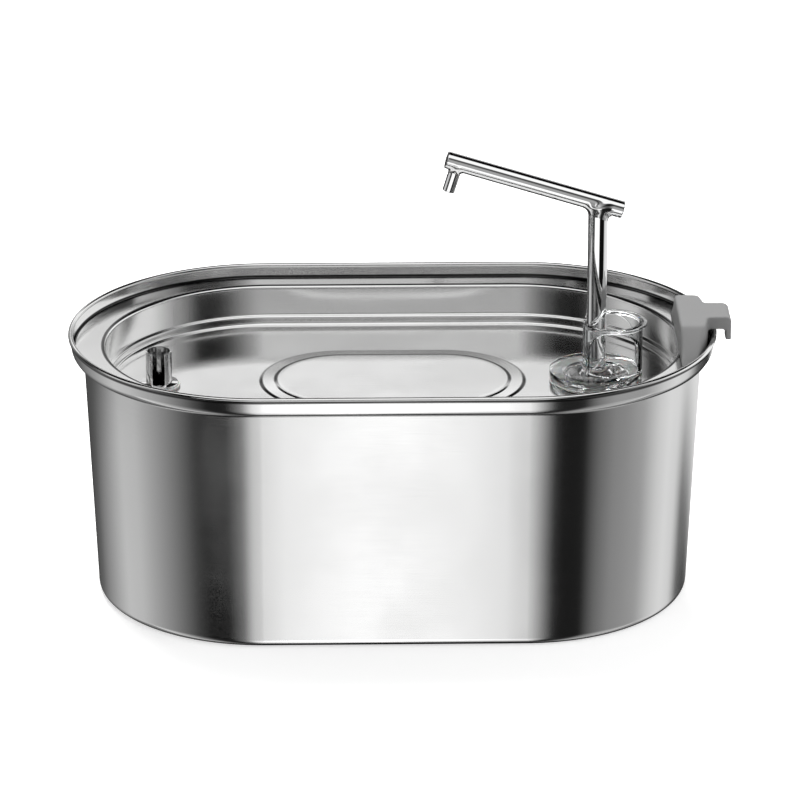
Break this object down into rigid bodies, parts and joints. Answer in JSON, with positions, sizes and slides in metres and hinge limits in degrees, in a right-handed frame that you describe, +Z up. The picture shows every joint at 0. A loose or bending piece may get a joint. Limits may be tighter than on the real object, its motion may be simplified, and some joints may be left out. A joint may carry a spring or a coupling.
{
  "type": "pet water fountain",
  "caption": "Oval steel water fountain for pets: polished tub, lift-out drinking tray, swivelling chrome faucet on a clear seat, and a submersible pump with filter.",
  "frame": {"origin": "middle of the tub's flat underside, on the surface it stands on", "axes": "+Z up, +X along the tub towards the faucet and cable clip, +Y to the back"},
  "size_m": [0.296, 0.174, 0.2053],
  "materials": {
    "polished_steel": "mirror polished",
    "chrome": "bright plated",
    "clear_plastic": "clear moulded",
    "white_silicone": "smooth translucent",
    "black_rubber": "matt",
    "plug_plastic": "fine matt",
    "grey_plastic": "fine matt",
    "pump_plastic": "fine matt",
    "dial_plastic": "fine matt",
    "core_steel": "laminated",
    "bobbin_plastic": "moulded",
    "copper_wire": "enamelled wire",
    "circuit_board": "solder mask",
    "magnet": "sintered",
    "white_plastic": "moulded",
    "ceramic": "ground",
    "bush_plastic": "moulded",
    "case_plastic": "moulded",
    "foam": "open-cell foam"
  },
  "bodies": {
    "tub": {"tub": "polished_steel", "pump_housing": "pump_plastic", "pump_rear_cover": "pump_plastic", "stator_core": "core_steel", "coil_bobbin": "bobbin_plastic", "coil_winding": "copper_wire", "control_board": "circuit_board", "rotor_shaft": "ceramic", "rear_bush": "bush_plastic", "suction_cups": "black_rubber", "cable_gland": "black_rubber"},
    "tray": {"drinking_tray": "polished_steel", "overflow_grommet": "white_silicone"},
    "seat": {"outlet_seat": "clear_plastic", "clear_cup": "clear_plastic", "seat_gasket": "white_silicone", "riser_tube": "white_silicone"},
    "sleeve": {"swivel_sleeve": "white_silicone"},
    "faucet": {"faucet_stem": "chrome", "faucet_arm": "chrome", "spout_nozzle": "chrome", "arm_end_plugs": "plug_plastic", "stem_o_rings": "black_rubber"},
    "overflow": {"overflow_pipe": "polished_steel"},
    "clip": {"cable_clip": "grey_plastic"},
    "rotor": {"rotor_magnet": "magnet", "impeller": "white_plastic"},
    "intake": {"intake_cover": "pump_plastic", "front_bush": "bush_plastic"},
    "dial": {"flow_dial": "dial_plastic"},
    "case": {"filter_case": "case_plastic"},
    "foam": {"foam_block": "foam"},
    "carbon": {"carbon_cartridge": "white_plastic"}
  },
  "joints": [
    {"name": "tray_lift", "type": "slide", "parent": "tub", "child": "tray", "axis": [0, 0, 1], "range_m": [0, 0.12]},
    {"name": "seat_lift", "type": "slide", "parent": "tray", "child": "seat", "axis": [0, 0, 1], "range_m": [0, 0.06]},
    {"name": "faucet_pull", "type": "slide", "parent": "seat", "child": "sleeve", "axis": [0, 0, 1], "range_m": [0, 0.02]},
    {"name": "faucet_swivel", "type": "hinge", "parent": "sleeve", "child": "faucet", "pos_m": [0.0912, 0, 0.1], "axis": [0, 0, 1], "continuous": true},
    {"name": "overflow_pull", "type": "slide", "parent": "tray", "child": "overflow", "axis": [0, 0, 1], "range_m": [0, 0.03]},
    {"name": "clip_lift", "type": "slide", "parent": "tray", "child": "clip", "axis": [0, 0, 1], "range_m": [0, 0.03]},
    {"name": "impeller_spin", "type": "hinge", "parent": "tub", "child": "rotor", "pos_m": [0.1, 0, 0.032], "axis": [-1, 0, 0], "continuous": true},
    {"name": "intake_pull", "type": "slide", "parent": "tub", "child": "intake", "axis": [-1, 0, 0], "range_m": [0, 0.012]},
    {"name": "dial_turn", "type": "hinge", "parent": "intake", "child": "dial", "pos_m": [0.078, 0, 0.032], "axis": [-1, 0, 0], "range_deg": [0, 60]},
    {"name": "case_pull", "type": "slide", "parent": "intake", "child": "case", "axis": [-1, 0, 0], "range_m": [0, 0.02]},
    {"name": "foam_lift", "type": "slide", "parent": "case", "child": "foam", "axis": [0, 0, 1], "range_m": [0, 0.04]},
    {"name": "carbon_lift", "type": "slide", "parent": "case", "child": "carbon", "axis": [0, 0, 1], "range_m": [0, 0.04]}
  ]
}
